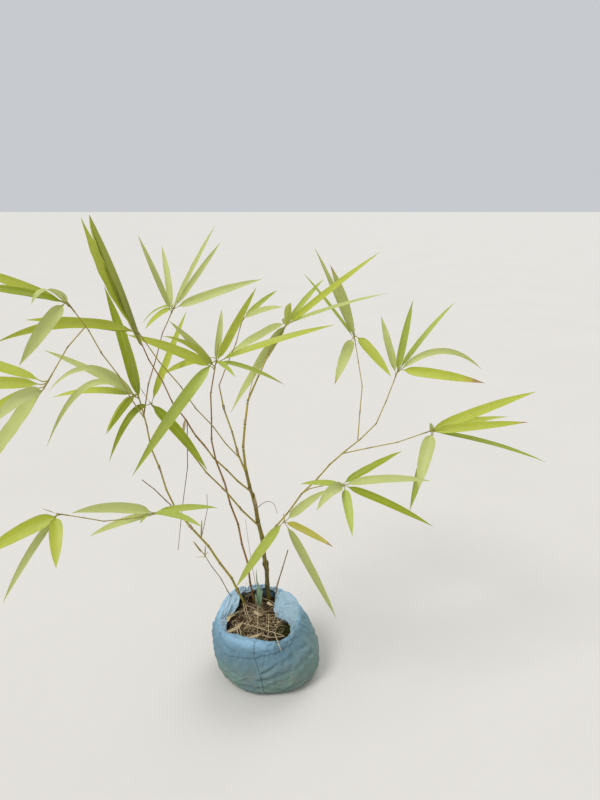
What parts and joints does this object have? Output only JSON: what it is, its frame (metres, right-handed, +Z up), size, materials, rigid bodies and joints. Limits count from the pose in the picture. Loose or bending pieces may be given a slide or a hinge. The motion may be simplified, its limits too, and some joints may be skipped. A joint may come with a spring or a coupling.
{
  "type": "potted bamboo",
  "caption": "Young clumping bamboo in a soft cloth nursery bag: slender jointed culms branch into arching sprays of long pointed leaves.",
  "frame": {"origin": "centre of the bag's flat underside", "axes": "+Z up along the culms, -Z out of the bag's underside, +X to the plant's right and +Y to its back, as seen from its front"},
  "size_m": [1.0807, 0.9054, 1.0795],
  "materials": {
    "leaf": "satin",
    "spear_leaf": "satin",
    "olive_culm": "satin",
    "red_culm": "satin",
    "yellow_branch": "satin",
    "dead_stem": "matte",
    "fresh_shoot": "matte",
    "blue_cloth": "matte",
    "soil": "matte"
  },
  "bodies": {
    "root": {"bag": "blue_cloth", "soil": "soil", "culm_main": "olive_culm", "culm_red": "red_culm", "culm_left": "yellow_branch", "arm_right": "yellow_branch", "arm_left": "yellow_branch", "shoot_thin": "red_culm", "branch_upper_left": "yellow_branch", "branch_bare": "yellow_branch", "branch_spear": "red_culm", "culm_red_top": "red_culm", "branch_cross": "yellow_branch", "culm_left_upper": "yellow_branch", "culm_left_top": "red_culm", "twig_low_left": "yellow_branch", "twig_far_left": "yellow_branch", "culm_right": "yellow_branch", "culm_right_top": "yellow_branch", "twig_back_right": "yellow_branch", "twig_right": "yellow_branch", "twig_front": "yellow_branch", "twig_front_right": "yellow_branch", "twig_near_top": "yellow_branch", "twig_near_left": "yellow_branch", "stub_left": "dead_stem", "twig_bare_low": "dead_stem", "twig_bare_high": "yellow_branch", "twig_dead": "dead_stem", "twig_rim_left": "dead_stem", "stub_dead_right": "dead_stem", "shoot_fresh": "fresh_shoot", "spray_back_centre": "leaf", "spray_thin": "leaf", "spray_upper_left": "leaf", "spear": "spear_leaf", "spray_centre": "leaf", "spray_left": "leaf", "spray_left_tall": "leaf", "spray_back_left": "leaf", "spray_low_left": "leaf", "spray_far_left": "leaf", "spray_right_top": "leaf", "spray_back_right": "leaf", "spray_right": "leaf", "spray_front": "leaf", "spray_front_right": "leaf", "spray_near_top": "leaf", "spray_near_left": "leaf"}
  },
  "joints": []
}
